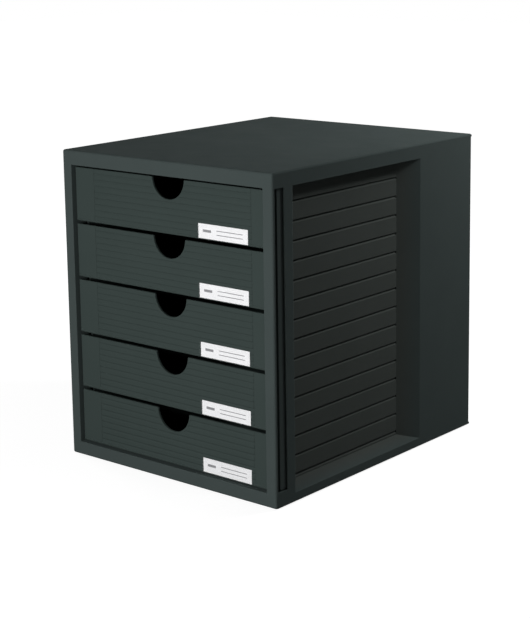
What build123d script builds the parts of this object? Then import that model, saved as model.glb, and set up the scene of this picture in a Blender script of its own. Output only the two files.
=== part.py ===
"""Desktop drawer organizer: a moulded casing with louvred sides and five sliding drawers.

Millimetres. Origin at the bottom centre, +Z up, the fronts look to -Y, +X is right seen from the front.
"""
import math
import os

from build123d import *

os.makedirs("parts", exist_ok=True)

# Outside size
WIDTH = 275.0
DEPTH = 330.0
HEIGHT = 320.0
FOOT_OUT = 1.0

# Walls of the casing
WALL = 2.2
TOP_T = 3.0
BASE_T = 2.5
BACK_T = 2.5
BACK_INSET = 0.5
EDGE_R = 2.2
BASE_EDGE_R = 1.2

# Inner flanges, posts and ribs of the side panels
FLANGE_W = 10.0
POST_WEB = 1.8
REAR_RIB_W = 6.0

# Front frame
FRAME_T = 3.0
FRAME_SIDE = 12.0
FRAME_LOW = 15.0
FRAME_HIGH = 15.0
FRAME_INNER_R = 0.8
COLLAR_T = 2.0
COLLAR_LEN = 16.0

# Drawer slots
DRAWERS = 5
REVEAL = 5.0
SIDE_GAP = 1.0
GAP_BELOW = 1.1
GAP_ABOVE = 2.4

# Louvred recess of a side panel, measured from the front plane
RECESS_START = 30.0
RECESS_DEPTH = 10.0
FLOOR_END = 207.0
RAMP_END = 235.0
RECESS_LOW = 10.0
LEDGE_RISE = 9.0
FLOOR_T = 3.2
SLAT_FIRST = 17.4
SLAT_PITCH = 18.95
SLAT_CUT_FRONT = 2.2
SLAT_CUT_REAR = 1.2
SLAT_UNDER = 1.4
SLAT_SLOPE = 1.6
RIM_R = 2.0

# Recessed strip between two slots, just behind the frame; the rear slot narrows upwards
STRIP_LOW = 17.5
STRIP_DROP = 1.6
SLOT_1_END = 8.0
STRIP_END = 16.0
SLOT_2_LOW = 2.0
SLOT_2_HIGH = 0.6
SLOT_UNDER = 1.3
SLOT_DEEP = 4.6

# Trays and runners
TRAY_T = 1.8
TRAY_DROP = 8.0
TRAY_BACK_GAP = 0.5
TRAY_R = 5.0
FLANGE_DROP = 18.0
FLANGE_T = 1.8
FLANGE_SHORT = 8.0
RUN_CLEAR = 0.3
CHANNEL_H = 4.3
RUNNER_T = 1.5
RUNNER_SPARE = 5.0
LEDGE_T = 1.8
LEDGE_W = 4.5
LEDGE_GAP = 1.3
LEAD_IN = 1.5
STOP_LEN = 4.0
STOP_DROP = 1.7
NIB_CLEAR = 0.4
KEEP_IN = 63.0

# Drawer front
PANEL_T = 2.5
RIM_T = 1.8
RIM_LEN = 6.0
EASE_R = 0.7
SCOOP_R = 20.75
SCOOP_X = 3.0
SCOOP_EDGE = 0.5
MARGIN_W = 2.2
MARGIN_T = 0.9
LIP_OUT = 0.35
LIP_TOP = 2.6
BAND_LEFT = 26.0
BAND_RIGHT = 16.4
RIB_PITCH = 6.2
RIB_DEEP = 0.25
RIB_RISE = 0.4
RIB_FALL = 2.2
LINE_W = 0.8
LINE_DEEP = 0.2

# Label card and its clear holder
CARD_IN = 21.6
CARD_W = 61.5
CARD_H = 14.2
CARD_T = 0.4
CARD_UP = 0.9
CARD_PLAY = 0.15
WINDOW_T = 0.75
HOLDER_SIDE = 0.6
HOLDER_EDGE = 0.4
POCKET_SLIT = 0.8

# Rubber feet
FOOT_R = 8.0
FOOT_SEAT = 1.0
FOOT_EDGE = 0.4
FOOT_IN_X = 19.5
FOOT_IN_Y = 23.0

# Values that follow from the ones above
HALF_W = WIDTH / 2
Y_FRONT = -DEPTH / 2
Y_REAR = DEPTH / 2
Z_BASE = FOOT_OUT + BASE_T
Z_TOP = HEIGHT - TOP_T
Y_BODY = Y_FRONT + FRAME_T
OPEN_HALF = HALF_W - FRAME_SIDE
OPEN_TOP = HEIGHT - FRAME_HIGH
PITCH = (OPEN_TOP - FRAME_LOW) / DRAWERS
Y_FACE = Y_FRONT + REVEAL
Y_PANEL_BACK = Y_FACE + PANEL_T
FRONT_HALF = OPEN_HALF - SIDE_GAP
Y_BACK_IN = Y_REAR - BACK_INSET - BACK_T
X_FLOOR = HALF_W - RECESS_DEPTH
X_INNER = X_FLOOR - FLOOR_T
Y_COLLAR = Y_BODY + COLLAR_LEN
X_RUNNER = X_INNER - RUNNER_T
X_LEDGE = X_RUNNER - LEDGE_W
TRAY_HALF = X_LEDGE - LEDGE_GAP
FLANGE_HALF = X_RUNNER - LEDGE_GAP
FLANGE_UP = PITCH - FLANGE_DROP
Y_TRAY_END = Y_BACK_IN - TRAY_BACK_GAP
CARD_X1 = FRONT_HALF - CARD_IN
CARD_X0 = CARD_X1 - CARD_W


def block(x0, x1, y0, y1, z0, z1):
    """A plain block between two corners."""
    middle = Pos((x0 + x1) / 2, (y0 + y1) / 2, (z0 + z1) / 2)
    return middle * Box(x1 - x0, y1 - y0, z1 - z0)


def edges_where(shape, test):
    """The edges of a shape whose middle point passes the test."""
    return [e for e in shape.edges() if test(e @ 0.5, e)]


def near(a, b):
    return abs(a - b) < 0.01


def save(shape, name):
    """Writes one piece."""
    export_step(shape, f"parts/{name}.step")


def prism_along_y(points, y0, y1):
    """A solid with an outline in X and Z, drawn from y0 to y1."""
    face = Face(Wire.make_polygon([Vector(x, y0, z) for x, z in points], close=True))
    return Solid.extrude(face, Vector(0, y1 - y0, 0))


def prism_along_x(points, x0, x1):
    """A solid with an outline in Y and Z, drawn from x0 to x1."""
    face = Face(Wire.make_polygon([Vector(x0, y, z) for y, z in points], close=True))
    return Solid.extrude(face, Vector(x1 - x0, 0, 0))


def prism_along_z(points, z0, z1):
    """A solid with an outline in X and Y, drawn from z0 to z1."""
    face = Face(Wire.make_polygon([Vector(x, y, z0) for x, y in points], close=True))
    return Solid.extrude(face, Vector(0, 0, z1 - z0))


# Front frame: a ring with rounded outer edges and a collar round the opening
def make_front_frame():
    ring = block(-HALF_W, HALF_W, Y_FRONT, Y_BODY, FOOT_OUT, HEIGHT)
    corners = edges_where(ring, lambda p, e: near(abs(p.X), HALF_W) and near(p.Y, Y_FRONT + FRAME_T / 2))
    ring = fillet(corners, EDGE_R)
    outer = edges_where(ring, lambda p, e: near(p.Y, Y_FRONT))
    ring = fillet(outer, EDGE_R)
    hole = block(-OPEN_HALF, OPEN_HALF, Y_FRONT - 1, Y_COLLAR + 1, FRAME_LOW, OPEN_TOP)
    collar = block(
        -OPEN_HALF - COLLAR_T, OPEN_HALF + COLLAR_T,
        Y_BODY, Y_COLLAR,
        FRAME_LOW - COLLAR_T, OPEN_TOP + COLLAR_T,
    )
    frame = ring + collar - hole
    inner = edges_where(
        frame,
        lambda p, e: near(p.Y, Y_FRONT)
        and abs(p.X) < OPEN_HALF + 0.1
        and FRAME_LOW - 0.1 < p.Z < OPEN_TOP + 0.1,
    )
    return fillet(inner, FRAME_INNER_R)


# Side panel with the louvred recess, right-hand one
def recess_solid(grow, floor, low_shift):
    """The recess itself, or the same shape grown for its back wall."""
    run = RAMP_END - FLOOR_END
    slope = run / RECESS_DEPTH
    side = grow * math.hypot(1, slope)
    x_deep = X_FLOOR - floor
    y_start = Y_FRONT + RECESS_START - grow
    y_deep = Y_FRONT + FLOOR_END - slope * floor + side
    y_out = Y_FRONT + RAMP_END + side
    outline = [
        (HALF_W, y_start),
        (x_deep, y_start),
        (x_deep, y_deep),
        (HALF_W, y_out),
    ]
    rise = LEDGE_RISE / RECESS_DEPTH
    z_out = RECESS_LOW - low_shift
    z_deep = z_out + rise * (HALF_W - x_deep)
    shape = prism_along_z(outline, z_out, OPEN_TOP + grow)
    below = [(HALF_W, z_out), (x_deep, z_deep), (x_deep, z_out)]
    return shape - prism_along_y(below, y_start, y_out)


def slat_cut(z):
    """One undercut line between two slats, deeper at the front than at the rear."""
    def outline(y, deep):
        points = [
            (X_FLOOR, z + SLAT_UNDER),
            (X_FLOOR - deep, z + SLAT_UNDER),
            (X_FLOOR - deep, z),
            (X_FLOOR, z - SLAT_SLOPE),
        ]
        return Wire.make_polygon([Vector(x, y, h) for x, h in points], close=True)

    front = outline(Y_FRONT + RECESS_START, SLAT_CUT_FRONT)
    rear = outline(Y_FRONT + FLOOR_END, SLAT_CUT_REAR)
    return Solid.make_loft([front, rear], ruled=True)


def make_side_panel():
    plate = block(HALF_W - WALL, HALF_W, Y_BODY, Y_REAR, Z_BASE, Z_TOP)
    post = block(OPEN_HALF + COLLAR_T, HALF_W, Y_BODY, Y_FRONT + RECESS_START, Z_BASE, Z_TOP)
    back_wall = recess_solid(WALL, FLOOR_T, WALL * math.hypot(1, LEDGE_RISE / RECESS_DEPTH))
    panel = plate + post + back_wall - recess_solid(0, 0, 0)
    panel -= block(
        OPEN_HALF, HALF_W - WALL,
        Y_COLLAR + POST_WEB, Y_FRONT + RECESS_START - WALL,
        Z_BASE + WALL, Z_TOP - WALL,
    )
    for z in (Z_BASE, Z_TOP - WALL):
        panel += block(HALF_W - FLANGE_W, HALF_W - WALL, Y_COLLAR, Y_BACK_IN, z, z + WALL)
    panel += block(HALF_W - REAR_RIB_W, HALF_W - WALL, Y_BACK_IN - WALL, Y_BACK_IN, Z_BASE, Z_TOP)
    far = HALF_W + 1
    x_slot = HALF_W - SLOT_DEEP
    y_slot_1 = Y_FRONT + SLOT_1_END
    y_strip = Y_FRONT + STRIP_END
    slot_2 = [
        (y_strip, STRIP_LOW),
        (y_strip + SLOT_2_LOW, STRIP_LOW),
        (y_strip + SLOT_2_HIGH, OPEN_TOP),
        (y_strip, OPEN_TOP),
    ]
    panel -= block(HALF_W - STRIP_DROP, far, y_slot_1, y_strip, STRIP_LOW, OPEN_TOP)
    panel -= block(x_slot, far, Y_BODY, y_slot_1, STRIP_LOW, OPEN_TOP)
    panel -= prism_along_x(slot_2, x_slot, far)
    panel -= block(x_slot, far, Y_BODY, y_strip + SLOT_2_LOW, STRIP_LOW - SLOT_UNDER, STRIP_LOW)
    rims = edges_where(
        panel,
        lambda p, e: near(p.X, HALF_W)
        and e.length > PITCH
        and (near(p.Y, Y_FRONT + RECESS_START) or near(p.Y, Y_FRONT + RAMP_END) or near(p.Y, Y_REAR)),
    )
    panel = fillet(rims, RIM_R)
    z = OPEN_TOP - SLAT_FIRST
    while z > RECESS_LOW + LEDGE_RISE:
        panel -= slat_cut(z)
        z -= SLAT_PITCH
    return panel


# Top, base and back panels
def make_top_panel():
    panel = block(-HALF_W, HALF_W, Y_BODY, Y_REAR, Z_TOP, HEIGHT)
    rims = edges_where(
        panel,
        lambda p, e: near(p.Z, HEIGHT) and (near(abs(p.X), HALF_W) or near(p.Y, Y_REAR)),
    )
    return fillet(rims, EDGE_R)


def foot_places():
    x = HALF_W - FOOT_IN_X
    y = Y_REAR - FOOT_IN_Y
    return [(-x, -y), (-x, y), (x, -y), (x, y)]


def make_base_panel():
    panel = block(-HALF_W, HALF_W, Y_BODY, Y_REAR, FOOT_OUT, Z_BASE)
    rims = edges_where(
        panel,
        lambda p, e: near(p.Z, FOOT_OUT) and (near(abs(p.X), HALF_W) or near(p.Y, Y_REAR)),
    )
    panel = fillet(rims, BASE_EDGE_R)
    for x, y in foot_places():
        panel -= Pos(x, y, FOOT_OUT + FOOT_SEAT / 2) * Cylinder(FOOT_R, FOOT_SEAT)
    return panel


def make_rubber_feet():
    feet = []
    tall = FOOT_OUT + FOOT_SEAT
    for x, y in foot_places():
        foot = Pos(x, y, tall / 2) * Cylinder(FOOT_R, tall)
        low = edges_where(foot, lambda p, e: near(p.Z, 0))
        feet.append(chamfer(low, FOOT_EDGE))
    return Compound(children=feet)


def make_back_panel():
    half = HALF_W - WALL
    return block(-half, half, Y_BACK_IN, Y_REAR - BACK_INSET, Z_BASE, Z_TOP)


# Runner rack, right-hand one: an upright with a channel for each drawer
def make_runner():
    low = FRAME_LOW + FLANGE_UP - RUN_CLEAR - LEDGE_T - RUNNER_SPARE
    high = OPEN_TOP - FLANGE_DROP + CHANNEL_H + LEDGE_T + RUNNER_SPARE
    rack = block(X_RUNNER, X_INNER, Y_COLLAR, Y_BACK_IN, low, high)
    x_tip = X_LEDGE + LEAD_IN
    ledge = [
        (X_RUNNER, Y_COLLAR),
        (x_tip, Y_COLLAR),
        (X_LEDGE, Y_COLLAR + 3 * LEAD_IN),
        (X_LEDGE, Y_BACK_IN),
        (X_RUNNER, Y_BACK_IN),
    ]
    for k in range(DRAWERS):
        z_run = FRAME_LOW + PITCH * k + FLANGE_UP - RUN_CLEAR
        z_roof = z_run + CHANNEL_H
        rack += prism_along_z(ledge, z_run - LEDGE_T, z_run)
        rack += prism_along_z(ledge, z_roof, z_roof + LEDGE_T)
        rack += block(x_tip, X_RUNNER, Y_COLLAR, Y_COLLAR + STOP_LEN, z_roof - STOP_DROP, z_roof)
    return rack


# Drawer tray: floor, two sides, a back, sliding flanges and the pull-out stops
def make_tray(z_slot):
    z_floor = z_slot + GAP_BELOW + RIM_T
    z_rim = z_slot + PITCH - TRAY_DROP
    tray = block(-TRAY_HALF, TRAY_HALF, Y_PANEL_BACK, Y_TRAY_END, z_floor, z_rim)
    corners = edges_where(tray, lambda p, e: near(p.Y, Y_TRAY_END) and near(abs(p.X), TRAY_HALF))
    tray = fillet(corners, TRAY_R)
    half = TRAY_HALF - TRAY_T
    y_in = Y_TRAY_END - TRAY_T
    room = block(-half, half, Y_PANEL_BACK - 1, y_in, z_floor + TRAY_T, z_rim + 1)
    corners = edges_where(room, lambda p, e: near(p.Y, y_in) and near(abs(p.X), half))
    tray -= fillet(corners, TRAY_R - TRAY_T)
    z_flange = z_slot + FLANGE_UP
    z_nib = z_flange - RUN_CLEAR + CHANNEL_H - NIB_CLEAR
    y_stop = Y_TRAY_END - KEEP_IN
    for side in (-1, 1):
        x0, x1 = sorted((side * half, side * FLANGE_HALF))
        tray += block(x0, x1, Y_PANEL_BACK, Y_TRAY_END - FLANGE_SHORT, z_flange, z_flange + FLANGE_T)
        x0, x1 = sorted((side * (TRAY_HALF + LEDGE_GAP), side * FLANGE_HALF))
        tray += block(x0, x1, y_stop, y_stop + STOP_LEN, z_flange, z_nib)
    return tray


# Drawer front: ribbed field, half-round finger cut-out, label pocket, rim behind its sides and foot
def make_drawer_front(z_slot):
    low = z_slot + GAP_BELOW
    high = z_slot + PITCH - GAP_ABOVE
    panel = block(-FRONT_HALF, FRONT_HALF, Y_FACE, Y_PANEL_BACK, low, high)
    face = edges_where(panel, lambda p, e: near(p.Y, Y_FACE))
    panel = fillet(face, EASE_R)
    rim = block(-FRONT_HALF, FRONT_HALF, Y_PANEL_BACK, Y_PANEL_BACK + RIM_LEN, low, high)
    rim -= block(
        -FRONT_HALF + RIM_T, FRONT_HALF - RIM_T,
        Y_PANEL_BACK - 1, Y_PANEL_BACK + RIM_LEN + 1,
        low + RIM_T, high + 1,
    )
    front = panel + rim
    rib_left = BAND_LEFT - FRONT_HALF
    rib_right = FRONT_HALF - BAND_RIGHT
    z = low + RIB_PITCH
    while z < high - RIB_PITCH / 2:
        cut = [(Y_FACE, z + RIB_RISE), (Y_FACE + RIB_DEEP, z), (Y_FACE, z - RIB_FALL)]
        front -= prism_along_x(cut, rib_left, rib_right)
        z += RIB_PITCH
    for x in (rib_left, rib_right - LINE_W):
        front -= block(x, x + LINE_W, Y_FACE, Y_FACE + LINE_DEEP, low + LIP_TOP, high - EASE_R)
    across = Rot(90, 0, 0)
    margin = Pos(SCOOP_X, Y_FACE + MARGIN_T / 2, high) * across * Cylinder(SCOOP_R + MARGIN_W, MARGIN_T)
    front += margin & block(-OPEN_HALF, OPEN_HALF, Y_FACE, Y_PANEL_BACK, low, high - EASE_R)
    front -= Pos(SCOOP_X, Y_FACE, high) * across * Cylinder(SCOOP_R, 4 * RIM_LEN)
    edge = edges_where(
        front,
        lambda p, e: e.geom_type == GeomType.CIRCLE and near(e.radius, SCOOP_R) and near(p.Y, Y_FACE),
    )
    front = chamfer(edge, SCOOP_EDGE)
    lip = [
        (Y_FACE, low + LIP_TOP),
        (Y_FACE - LIP_OUT, low + LIP_TOP - 2 * LIP_OUT),
        (Y_FACE - LIP_OUT, low + EASE_R + LIP_OUT),
        (Y_FACE, low + EASE_R),
        (Y_PANEL_BACK, low + EASE_R),
        (Y_PANEL_BACK, low + LIP_TOP),
    ]
    front += prism_along_x(lip, EASE_R - FRONT_HALF, FRONT_HALF - EASE_R)
    pocket = block(
        CARD_X0 - HOLDER_SIDE, CARD_X1 + HOLDER_SIDE + POCKET_SLIT,
        Y_FACE - LIP_OUT, Y_FACE + 2 * CARD_T,
        low + CARD_UP - HOLDER_EDGE, low + CARD_UP + CARD_H + HOLDER_EDGE,
    )
    return front - pocket


# White label card in its pocket
def make_label_card(z_slot):
    low = z_slot + GAP_BELOW + CARD_UP
    return block(CARD_X0, CARD_X1, Y_FACE + CARD_T, Y_FACE + 2 * CARD_T, low, low + CARD_H)


# Clear holder: a window over the card with legs at the left, above and below
def make_label_holder(z_slot):
    low = z_slot + GAP_BELOW + CARD_UP
    x0 = CARD_X0 - HOLDER_SIDE
    x1 = CARD_X1 + HOLDER_SIDE
    z0 = low - HOLDER_EDGE
    z1 = low + CARD_H + HOLDER_EDGE
    y_inner = Y_FACE + CARD_T - CARD_PLAY
    y_floor = Y_FACE + 2 * CARD_T
    window = block(x0, x1, y_inner - WINDOW_T, y_inner, z0, z1)
    rims = edges_where(window, lambda p, e: near(p.Y, y_inner - WINDOW_T))
    window = fillet(rims, WINDOW_T / 3)
    window += block(x0, CARD_X0, y_inner, y_floor, z0, z1)
    window += block(x0, x1, y_inner, y_floor, low + CARD_H, z1)
    window += block(x0, x1, y_inner, y_floor, z0, low)
    return window


save(make_front_frame(), "front_frame")
side = make_side_panel()
save(side, "side_panel_right")
save(side.mirror(Plane.YZ), "side_panel_left")
save(make_top_panel(), "top_panel")
save(make_base_panel(), "base_panel")
save(make_back_panel(), "back_panel")
save(make_rubber_feet(), "rubber_feet")
runner = make_runner()
save(runner, "runner_right")
save(runner.mirror(Plane.YZ), "runner_left")
for number in range(1, DRAWERS + 1):
    slot = FRAME_LOW + PITCH * (DRAWERS - number)
    save(make_tray(slot), f"drawer_{number}_tray")
    save(make_drawer_front(slot), f"drawer_{number}_front")
    save(make_label_card(slot), f"drawer_{number}_label_card")
    save(make_label_holder(slot), f"drawer_{number}_label_holder")
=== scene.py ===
"""Looks of a desktop drawer organizer: a dark moulded casing with louvred sides and five drawers.

Metres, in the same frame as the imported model: origin at the bottom centre, +Z up, fronts to -Y.
"""
import math

import bpy
from mathutils import Matrix, Vector


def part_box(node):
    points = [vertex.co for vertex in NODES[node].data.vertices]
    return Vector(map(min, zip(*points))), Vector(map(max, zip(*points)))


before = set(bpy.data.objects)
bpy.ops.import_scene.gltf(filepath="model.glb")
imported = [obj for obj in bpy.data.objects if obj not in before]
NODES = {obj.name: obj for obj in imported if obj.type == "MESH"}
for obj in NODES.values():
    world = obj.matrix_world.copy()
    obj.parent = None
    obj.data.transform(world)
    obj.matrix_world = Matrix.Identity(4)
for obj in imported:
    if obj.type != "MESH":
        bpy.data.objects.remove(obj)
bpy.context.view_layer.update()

MM = 0.001
DRAWERS = range(1, 6)
CASING_NODES = ("front_frame", "top_panel", "base_panel", "back_panel", "runner_right", "runner_left")
SIDE_NODES = ("side_panel_right", "side_panel_left")

# Camera of the photograph, fitted to the unit's corners: picture height and focal length in pixels, width
# of its sensor in millimetres, and its distance from the point that it looks at. Its lens is shifted down
# a little, because the photograph's upright edges are nearly parallel
IMAGE_HIGH = 618.0
FOCAL_PX = 1603.1
SENSOR = 36.0
AZIMUTH = math.radians(40.07)
ELEVATION = math.radians(10.43)
ROLL = math.radians(-0.81)
DISTANCE = 1.6745
TARGET = Vector((-0.01026, 0.0, 0.24006))
SHIFT_Y = -0.15
FARTHEST_SEEN = 50.0

# Colours of the moulded styrene, each with the tone that its mottle goes to
CASING_TONES = ("#3d4544", "#424a49")
SUNK_TONES = ("#404542", "#464a48")
DRAWER_TONES = ("#363f3d", "#394240")

# Skin of the moulded styrene: the casing is slightly duller than the drawers, handling makes patches
# smoother or leaves them duller by these steps, and there is hardly any gloss
CASING_ROUGH = 0.78
DRAWER_ROUGH = 0.76
PATCH_SMOOTHER = 0.05
PATCH_DULLER = 0.06
GLOSS = 0.01
MOULDED_IOR = 1.5
CLEAR_IOR = 1.49

# Ease of the moulded edges, and depths of the mould's grain, the rubber's skin and the card's fibres
EDGE_EASE = 0.35 * MM
GRAIN_DEPTH = 0.05 * MM
BLOOM_DEPTH = 0.05 * MM
FIBRE_DEPTH = 0.03 * MM

# Pattern sizes in millimetres: flow of the melt, handling polish, grain of the mould, bloom on the rubber,
# haze in the clear styrene, fibres of the card and clouds on the floor board
FLOW_MM = 55
POLISH_MM = 22
GRAIN_MM = 0.8
BLOOM_MM = 4
HAZE_MM = 9
FIBRE_MM = 0.6
CLOUD_MM = 500

# Ribs of the drawer fronts: their spacing, the widths over which a line falls and rises, the depth that
# the bump adds, and the ribbed field as left and right of the unit's middle, and low and high above the
# front's foot. The modelled line rises over 0.4 mm, and the bump is drawn wider so that it shows
RIB_PITCH = 6.2 * MM
RIB_FALL = 2.2 * MM
RIB_RISE = 1.0 * MM
RIB_EXTRA = 0.4 * MM
RIB_FIELD = (-98.5 * MM, 108.1 * MM, 3.0 * MM, 52.0 * MM)

# Middle of the finger cut-out above a front's foot, and the radius of the smooth margin round it
SCOOP_MIDDLE = (3.0 * MM, 0.0, 54.5 * MM)
SCOOP_MARGIN = 23.0 * MM

# Depth under the flush faces of the side panels at which their sunk tone starts, and where it is full
SUNK_FROM = 1.0 * MM
SUNK_FULL = 8.0 * MM

# Marks on a label card as shares of its width and height: left, right, low, high
CARD_BAR = (0.09, 0.26, 0.44, 0.62)
CARD_UPPER_LINE = (0.37, 0.90, 0.60, 0.65)
CARD_LOWER_LINE = (0.37, 0.90, 0.32, 0.37)

# Square soft boxes: name, place, spot that it points at, side and power in watts. The world's faint
# light fills the shadows
UNIT_MIDDLE = (0.0, 0.0, 0.16)
SOFT_BOXES = (
    ("soft_box_front", (0.1, -1.1, 0.35), UNIT_MIDDLE, 0.28, 8.8),
    ("soft_box_rear_right", (0.41, 0.52, 0.685), (0.1, 0.15, 0.25), 0.12, 4.2),
    ("soft_box_high", (0.3, 0.1, 0.85), (0.1, 0.05, 0.3), 0.2, 0.5),
    ("soft_box_left", (-1.55, 0.14, 0.28), UNIT_MIDDLE, 0.4, 12.0),
    ("soft_box_back", (0.14, 1.59, 0.3), UNIT_MIDDLE, 0.5, 5.0),
)
SOFT_FILL = 0.04
WHITE = (1.0, 1.0, 1.0, 1.0)

# Floor board: half its side, and the distances from the unit's middle at which its own white starts to
# rise from the near level and is full, so that a pale shadow stays near the unit
FLOOR_HALF = 6.0
WHITE_FROM = 0.4
WHITE_FULL = 1.2
WHITE_NEAR = 0.875

# Sockets of the colour mixing node, which share their names with other kinds
COLOUR_A, COLOUR_B, COLOUR_OUT = 6, 7, 2


def linear(code):
    """An sRGB hex colour as linear red, green, blue and alpha."""
    parts = [int(code[i:i + 2], 16) / 255 for i in (1, 3, 5)]
    light = [p / 12.92 if p <= 0.04045 else ((p + 0.055) / 1.055) ** 2.4 for p in parts]
    return (*light, 1.0)


def add(tree, kind, inputs=None, **settings):
    """Adds a node with its settings; an input is a value or the output that feeds it."""
    node = tree.nodes.new(kind)
    for name, value in settings.items():
        setattr(node, name, value)
    for name, value in (inputs or {}).items():
        socket = node.inputs[name]
        if isinstance(value, bpy.types.NodeSocket):
            tree.links.new(value, socket)
        else:
            socket.default_value = value
    return node


def blank(name):
    """An empty material, its node tree and the place of a surface point in metres."""
    material = bpy.data.materials.new(name)
    material.use_nodes = True
    tree = material.node_tree
    tree.nodes.clear()
    return material, tree, add(tree, "ShaderNodeTexCoord").outputs["Object"]


def per_metre(size_mm):
    """Noise scale for a pattern of that size in millimetres."""
    return 1000.0 / size_mm


def inside(tree, u, v, left, right, low, high):
    """1 where u and v lie inside a rectangle, 0 outside."""
    mask = None
    for value, kind, limit in (
        (u, "GREATER_THAN", left), (u, "LESS_THAN", right),
        (v, "GREATER_THAN", low), (v, "LESS_THAN", high),
    ):
        test = add(tree, "ShaderNodeMath", {0: value, 1: limit}, operation=kind).outputs["Value"]
        if mask is None:
            mask = test
        else:
            mask = add(tree, "ShaderNodeMath", {0: mask, 1: test}, operation="MULTIPLY").outputs["Value"]
    return mask


def rib_lines(tree, place, normal):
    """Bump that deepens the shading of the drawer fronts' modelled ribs, which are only 0.25 mm deep."""
    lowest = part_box("drawer_5_front")[0].z
    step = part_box("drawer_4_front")[0].z - lowest
    axes = add(tree, "ShaderNodeSeparateXYZ", {"Vector": place})
    up = add(tree, "ShaderNodeMath", {0: axes.outputs["Z"], 1: lowest}, operation="SUBTRACT")
    up = add(tree, "ShaderNodeMath", {0: up.outputs["Value"], 1: step}, operation="MODULO").outputs["Value"]
    turn = add(tree, "ShaderNodeMath", {0: up, 1: RIB_PITCH}, operation="MODULO").outputs["Value"]
    fall = add(tree, "ShaderNodeMapRange", {
        "Value": turn, "From Min": RIB_PITCH - RIB_FALL, "From Max": RIB_PITCH,
    })
    rise = add(tree, "ShaderNodeMapRange", {
        "Value": turn, "From Max": RIB_RISE, "To Min": 1.0, "To Max": 0.0,
    })
    groove = add(tree, "ShaderNodeMath", {
        0: fall.outputs["Result"], 1: rise.outputs["Result"],
    }, operation="MAXIMUM")
    field = inside(tree, axes.outputs["X"], up, *RIB_FIELD)

    # No ribs on the smooth margin round the finger cut-out
    spot = add(tree, "ShaderNodeCombineXYZ", {"X": axes.outputs["X"], "Z": up})
    away = add(tree, "ShaderNodeVectorMath", {
        0: spot.outputs["Vector"], 1: SCOOP_MIDDLE,
    }, operation="DISTANCE")
    beyond = add(tree, "ShaderNodeMath", {
        0: away.outputs["Value"], 1: SCOOP_MARGIN,
    }, operation="GREATER_THAN")
    ribbed = add(tree, "ShaderNodeMath", {0: field, 1: beyond.outputs["Value"]}, operation="MULTIPLY")
    depth = add(tree, "ShaderNodeMath", {
        0: groove.outputs["Value"], 1: ribbed.outputs["Value"],
    }, operation="MULTIPLY")
    return add(tree, "ShaderNodeBump", {
        "Height": depth.outputs["Value"], "Distance": RIB_EXTRA, "Normal": normal,
    }, invert=True).outputs["Normal"]


def sunk_tone(tree, place, flow, tone):
    """The louvre field, sunk under the flush faces above it, is painted a more neutral tone by its depth.
    """
    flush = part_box("side_panel_right")[1].x
    first, second = SUNK_TONES
    deep = add(tree, "ShaderNodeMix", {
        0: flow, COLOUR_A: linear(first), COLOUR_B: linear(second),
    }, data_type="RGBA").outputs[COLOUR_OUT]
    across = add(tree, "ShaderNodeSeparateXYZ", {"Vector": place}).outputs["X"]
    across = add(tree, "ShaderNodeMath", {0: across}, operation="ABSOLUTE").outputs["Value"]
    share = add(tree, "ShaderNodeMapRange", {
        "Value": across, "From Min": flush - SUNK_FULL, "From Max": flush - SUNK_FROM,
        "To Min": 1.0, "To Max": 0.0,
    })
    return add(tree, "ShaderNodeMix", {
        0: share.outputs["Result"], COLOUR_A: tone, COLOUR_B: deep,
    }, data_type="RGBA").outputs[COLOUR_OUT]


def moulded_styrene(name, tones, rough, sunk=False, ribbed=False):
    """Moulded styrene with a fine spark-eroded grain: soft sheen, a little mottle, eased edges."""
    material, tree, place = blank(name)

    # Flow of the melt: slow, faint change of tone over some centimetres
    flow = add(tree, "ShaderNodeTexNoise", {
        "Vector": place, "Scale": per_metre(FLOW_MM), "Detail": 3.0, "Roughness": 0.55,
    }).outputs["Fac"]
    tone = add(tree, "ShaderNodeMix", {
        0: flow, COLOUR_A: linear(tones[0]), COLOUR_B: linear(tones[1]),
    }, data_type="RGBA").outputs[COLOUR_OUT]
    # A more neutral tone, painted by depth on the sunk louvre field
    if sunk:
        tone = sunk_tone(tree, place, flow, tone)

    # Handling polish: patches a little smoother than the rest
    patch = add(tree, "ShaderNodeTexNoise", {
        "Vector": place, "Scale": per_metre(POLISH_MM), "Detail": 4.0, "Roughness": 0.6,
    })
    sheen = add(tree, "ShaderNodeMapRange", {
        "Value": patch.outputs["Fac"], "From Min": 0.3, "From Max": 0.7,
        "To Min": rough - PATCH_SMOOTHER, "To Max": rough + PATCH_DULLER,
    })

    # Grain of the mould; the real one is about 0.15 mm, drawn coarser so that it shows
    grain = add(tree, "ShaderNodeTexNoise", {
        "Vector": place, "Scale": per_metre(GRAIN_MM), "Detail": 2.0, "Roughness": 0.6,
    })
    normal = add(tree, "ShaderNodeBevel", {"Radius": EDGE_EASE}, samples=4).outputs["Normal"]
    if ribbed:
        normal = rib_lines(tree, place, normal)
    bump = add(tree, "ShaderNodeBump", {
        "Height": grain.outputs["Fac"], "Strength": 0.35, "Distance": GRAIN_DEPTH, "Normal": normal,
    })
    skin = add(tree, "ShaderNodeBsdfPrincipled", {
        "Base Color": tone, "Roughness": sheen.outputs["Result"], "Normal": bump.outputs["Normal"],
        "IOR": MOULDED_IOR, "Specular IOR Level": GLOSS,
    })
    add(tree, "ShaderNodeOutputMaterial", {"Surface": skin.outputs["BSDF"]})
    return material


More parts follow.
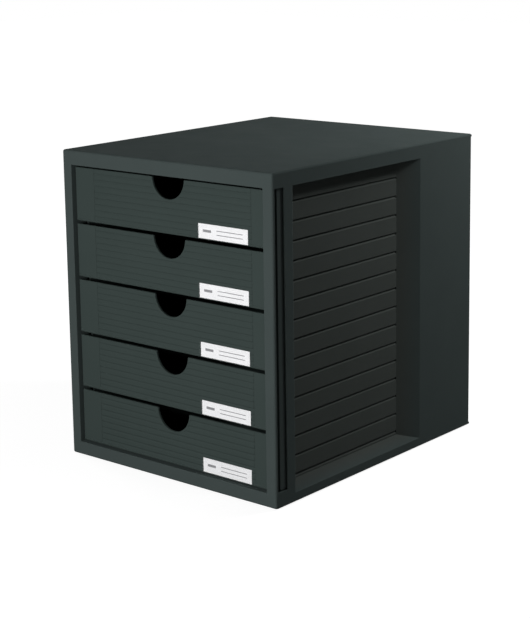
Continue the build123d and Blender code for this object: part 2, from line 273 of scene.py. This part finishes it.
def foot_rubber():
    """Moulded black rubber: matt, with a faint bloom."""
    material, tree, place = blank("foot_rubber_moulded")
    bloom = add(tree, "ShaderNodeTexNoise", {
        "Vector": place, "Scale": per_metre(BLOOM_MM), "Detail": 4.0,
    }).outputs["Fac"]
    tone = add(tree, "ShaderNodeMix", {
        0: bloom, COLOUR_A: linear("#171817"), COLOUR_B: linear("#262726"),
    }, data_type="RGBA").outputs[COLOUR_OUT]
    bump = add(tree, "ShaderNodeBump", {"Height": bloom, "Strength": 0.3, "Distance": BLOOM_DEPTH})
    skin = add(tree, "ShaderNodeBsdfPrincipled", {
        "Base Color": tone, "Roughness": 0.85, "Normal": bump.outputs["Normal"],
    })
    add(tree, "ShaderNodeOutputMaterial", {"Surface": skin.outputs["BSDF"]})
    return material


def clear_styrene():
    """Clear moulded styrene of the label holder: nearly invisible, with a thin gloss and a faint haze."""
    material, tree, place = blank("clear_styrene_holder")
    haze = add(tree, "ShaderNodeTexNoise", {"Vector": place, "Scale": per_metre(HAZE_MM), "Detail": 3.0})
    rough = add(tree, "ShaderNodeMapRange", {
        "Value": haze.outputs["Fac"], "To Min": 0.1, "To Max": 0.22,
    })
    skin = add(tree, "ShaderNodeBsdfPrincipled", {
        "Base Color": linear("#eef1f1"), "Roughness": rough.outputs["Result"],
        "IOR": CLEAR_IOR, "Alpha": 0.06,
    })
    add(tree, "ShaderNodeOutputMaterial", {"Surface": skin.outputs["BSDF"]})
    return material


def label_card(number):
    """White uncoated card, matt and fibrous, with a grey bar and two ruled lines to write on."""
    material, tree, place = blank(f"label_card_{number}_paper")
    low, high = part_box(f"drawer_{number}_label_card")
    axes = add(tree, "ShaderNodeSeparateXYZ", {"Vector": place})
    u = add(tree, "ShaderNodeMapRange", {
        "Value": axes.outputs["X"], "From Min": low.x, "From Max": high.x,
    }).outputs["Result"]
    v = add(tree, "ShaderNodeMapRange", {
        "Value": axes.outputs["Z"], "From Min": low.z, "From Max": high.z,
    }).outputs["Result"]
    bar = inside(tree, u, v, *CARD_BAR)
    upper = inside(tree, u, v, *CARD_UPPER_LINE)
    lower = inside(tree, u, v, *CARD_LOWER_LINE)
    lines = add(tree, "ShaderNodeMath", {0: upper, 1: lower}, operation="MAXIMUM").outputs["Value"]

    # Fibres of the card, about half a millimetre long
    fibre = add(tree, "ShaderNodeTexNoise", {
        "Vector": place, "Scale": per_metre(FIBRE_MM), "Detail": 3.0,
    }).outputs["Fac"]
    paper = add(tree, "ShaderNodeMix", {
        0: fibre, COLOUR_A: linear("#f4f3f5"), COLOUR_B: linear("#ececed"),
    }, data_type="RGBA").outputs[COLOUR_OUT]
    ruled = add(tree, "ShaderNodeMix", {
        0: lines, COLOUR_A: paper, COLOUR_B: linear("#6d6c70"),
    }, data_type="RGBA").outputs[COLOUR_OUT]
    printed = add(tree, "ShaderNodeMix", {
        0: bar, COLOUR_A: ruled, COLOUR_B: linear("#77777a"),
    }, data_type="RGBA").outputs[COLOUR_OUT]
    bump = add(tree, "ShaderNodeBump", {"Height": fibre, "Strength": 0.2, "Distance": FIBRE_DEPTH})
    skin = add(tree, "ShaderNodeBsdfPrincipled", {
        "Base Color": printed, "Roughness": 0.8, "Normal": bump.outputs["Normal"],
    })
    add(tree, "ShaderNodeOutputMaterial", {"Surface": skin.outputs["BSDF"]})
    return material


def dress(node, material):
    """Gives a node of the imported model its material."""
    mesh = NODES[node].data
    mesh.materials.clear()
    mesh.materials.append(material)


def dress_all():
    """Gives every node its material; only the label cards have one each, for the marks' places."""
    casing = moulded_styrene("casing_moulded_styrene", CASING_TONES, CASING_ROUGH)
    side = moulded_styrene("side_panel_moulded_styrene", CASING_TONES, CASING_ROUGH, sunk=True)
    tray = moulded_styrene("tray_moulded_styrene", DRAWER_TONES, DRAWER_ROUGH)
    front = moulded_styrene("drawer_front_moulded_styrene", DRAWER_TONES, DRAWER_ROUGH, ribbed=True)
    clear = clear_styrene()
    for node in CASING_NODES:
        dress(node, casing)
    for node in SIDE_NODES:
        dress(node, side)
    dress("rubber_feet", foot_rubber())
    for number in DRAWERS:
        dress(f"drawer_{number}_tray", tray)
        dress(f"drawer_{number}_front", front)
        dress(f"drawer_{number}_label_holder", clear)
        dress(f"drawer_{number}_label_card", label_card(number))


def place_camera():
    """The photograph's viewpoint, from the front right and a little above."""
    data = bpy.data.cameras.new("camera")
    camera = bpy.data.objects.new("camera", data)
    bpy.context.scene.collection.objects.link(camera)
    back = Vector((
        math.sin(AZIMUTH) * math.cos(ELEVATION),
        -math.cos(AZIMUTH) * math.cos(ELEVATION),
        math.sin(ELEVATION),
    ))
    right = Vector((math.cos(AZIMUTH), math.sin(AZIMUTH), 0.0))
    up = back.cross(right)
    turned_right = right * math.cos(ROLL) + up * math.sin(ROLL)
    turned_up = up * math.cos(ROLL) - right * math.sin(ROLL)
    turn = Matrix((turned_right, turned_up, back)).transposed().to_4x4()
    camera.matrix_world = Matrix.Translation(TARGET + back * DISTANCE) @ turn
    data.sensor_width = SENSOR
    data.lens = FOCAL_PX / IMAGE_HIGH * SENSOR
    data.shift_y = SHIFT_Y
    data.clip_end = FARTHEST_SEEN
    bpy.context.scene.camera = camera


def soft_light(name, place, aim, side, power):
    """A square soft box that points at a spot."""
    data = bpy.data.lights.new(name, "AREA")
    data.shape = "SQUARE"
    data.size = side
    data.energy = power
    lamp = bpy.data.objects.new(name, data)
    bpy.context.scene.collection.objects.link(lamp)
    lamp.location = place
    lamp.rotation_mode = "QUATERNION"
    lamp.rotation_quaternion = (Vector(aim) - Vector(place)).to_track_quat("-Z", "Y")


def seen_directly(tree):
    """1 where the camera sees the surface, also in a gloss or through something clear."""
    path = add(tree, "ShaderNodeLightPath")
    seen = path.outputs["Is Camera Ray"]
    for other in ("Is Glossy Ray", "Is Transmission Ray"):
        seen = add(tree, "ShaderNodeMath", {
            0: seen, 1: path.outputs[other],
        }, operation="MAXIMUM").outputs["Value"]
    return seen


def light_studio():
    """A plain white studio: soft boxes in front, beyond the rear right corner, above, left and behind."""
    scene = bpy.context.scene
    scene.view_settings.view_transform = "Standard"
    world = bpy.data.worlds.new("studio")
    scene.world = world
    world.use_nodes = True
    tree = world.node_tree
    tree.nodes.clear()
    strength = add(tree, "ShaderNodeMapRange", {
        "Value": seen_directly(tree), "To Min": SOFT_FILL, "To Max": 1.0,
    })
    sky = add(tree, "ShaderNodeBackground", {"Color": WHITE, "Strength": strength.outputs["Result"]})
    add(tree, "ShaderNodeOutputWorld", {"Surface": sky.outputs["Background"]})
    for box in SOFT_BOXES:
        soft_light(*box)


def lay_floor():
    """A wide matt board that keeps a pale shadow and is seen white out to the horizon."""
    half = FLOOR_HALF
    mesh = bpy.data.meshes.new("floor")
    corners = [(-half, -half, 0), (half, -half, 0), (half, half, 0), (-half, half, 0)]
    mesh.from_pydata(corners, [], [(0, 1, 2, 3)])
    floor = bpy.data.objects.new("floor", mesh)
    bpy.context.scene.collection.objects.link(floor)
    material, tree, place = blank("studio_floor")
    cloud = add(tree, "ShaderNodeTexNoise", {"Vector": place, "Scale": per_metre(CLOUD_MM)})
    tone = add(tree, "ShaderNodeMix", {
        0: cloud.outputs["Fac"], COLOUR_A: linear("#929292"), COLOUR_B: linear("#8c8c8c"),
    }, data_type="RGBA").outputs[COLOUR_OUT]
    matt = add(tree, "ShaderNodeBsdfDiffuse", {"Color": tone})
    away = add(tree, "ShaderNodeVectorMath", {0: place}, operation="LENGTH")
    lift = add(tree, "ShaderNodeMapRange", {
        "Value": away.outputs["Value"], "From Min": WHITE_FROM, "From Max": WHITE_FULL,
        "To Min": WHITE_NEAR, "To Max": 1.0,
    })
    strength = add(tree, "ShaderNodeMath", {
        0: seen_directly(tree), 1: lift.outputs["Result"],
    }, operation="MULTIPLY")
    glow = add(tree, "ShaderNodeEmission", {"Color": WHITE, "Strength": strength.outputs["Value"]})
    both = add(tree, "ShaderNodeAddShader", {0: matt.outputs["BSDF"], 1: glow.outputs["Emission"]})
    add(tree, "ShaderNodeOutputMaterial", {"Surface": both.outputs["Shader"]})
    mesh.materials.append(material)


dress_all()
place_camera()
light_studio()
lay_floor()
